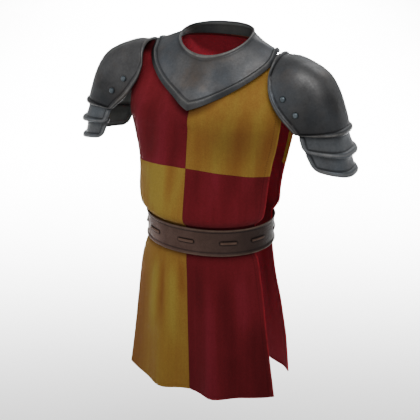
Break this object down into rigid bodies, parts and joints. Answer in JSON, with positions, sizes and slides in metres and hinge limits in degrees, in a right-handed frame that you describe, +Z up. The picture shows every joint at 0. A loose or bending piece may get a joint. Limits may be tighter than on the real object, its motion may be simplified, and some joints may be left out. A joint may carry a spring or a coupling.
{
  "type": "tabard with plate collar and pauldrons",
  "caption": "Quartered sleeveless tabard worn hollow, open at both sides and belted, with a pointed plate collar and laminated shoulder plates.",
  "frame": {"origin": "at the wearer's shoulder line, midway between the shoulders, inside the hollow just under the collar", "axes": "+Z up, the front faces -Y, +X towards the wearer's left"},
  "size_m": [0.7318, 0.3025, 0.9029],
  "materials": {
    "red_cloth": "matte wool cloth, deep crimson, worn in soft vertical streaks",
    "gold_cloth": "matte wool cloth, old gold going to orange brown in the folds",
    "lining_cloth": "plain dark red lining cloth",
    "steel": "dark mottled forged steel with lighter worn edges",
    "belt_leather": "dark brown worn leather",
    "thong_leather": "lighter brown leather thong",
    "rivet_steel": "blue grey steel rivet heads"
  },
  "bodies": {
    "root": {"front_chest_right": "red_cloth", "front_chest_left": "gold_cloth", "front_skirt_right": "gold_cloth", "front_skirt_left": "red_cloth", "front_lining": "lining_cloth", "back_chest_right": "red_cloth", "back_chest_left": "gold_cloth", "back_skirt_right": "gold_cloth", "back_skirt_left": "red_cloth", "back_lining": "lining_cloth", "belt": "belt_leather", "belt_thong_01": "thong_leather", "belt_thong_02": "thong_leather", "belt_thong_03": "thong_leather", "belt_thong_04": "thong_leather", "belt_thong_05": "thong_leather", "belt_thong_06": "thong_leather", "belt_thong_07": "thong_leather", "belt_thong_08": "thong_leather", "belt_thong_09": "thong_leather", "belt_thong_10": "thong_leather", "plate_collar": "steel", "pauldron_cop_left": "steel", "pauldron_upper_lame_left": "steel", "pauldron_lower_lame_left": "steel", "rivet_front_upper_left": "rivet_steel", "rivet_front_lower_left": "rivet_steel", "rivet_back_upper_left": "rivet_steel", "rivet_back_lower_left": "rivet_steel", "pauldron_cop_right": "steel", "pauldron_upper_lame_right": "steel", "pauldron_lower_lame_right": "steel", "rivet_front_upper_right": "rivet_steel", "rivet_front_lower_right": "rivet_steel", "rivet_back_upper_right": "rivet_steel", "rivet_back_lower_right": "rivet_steel"}
  },
  "joints": []
}
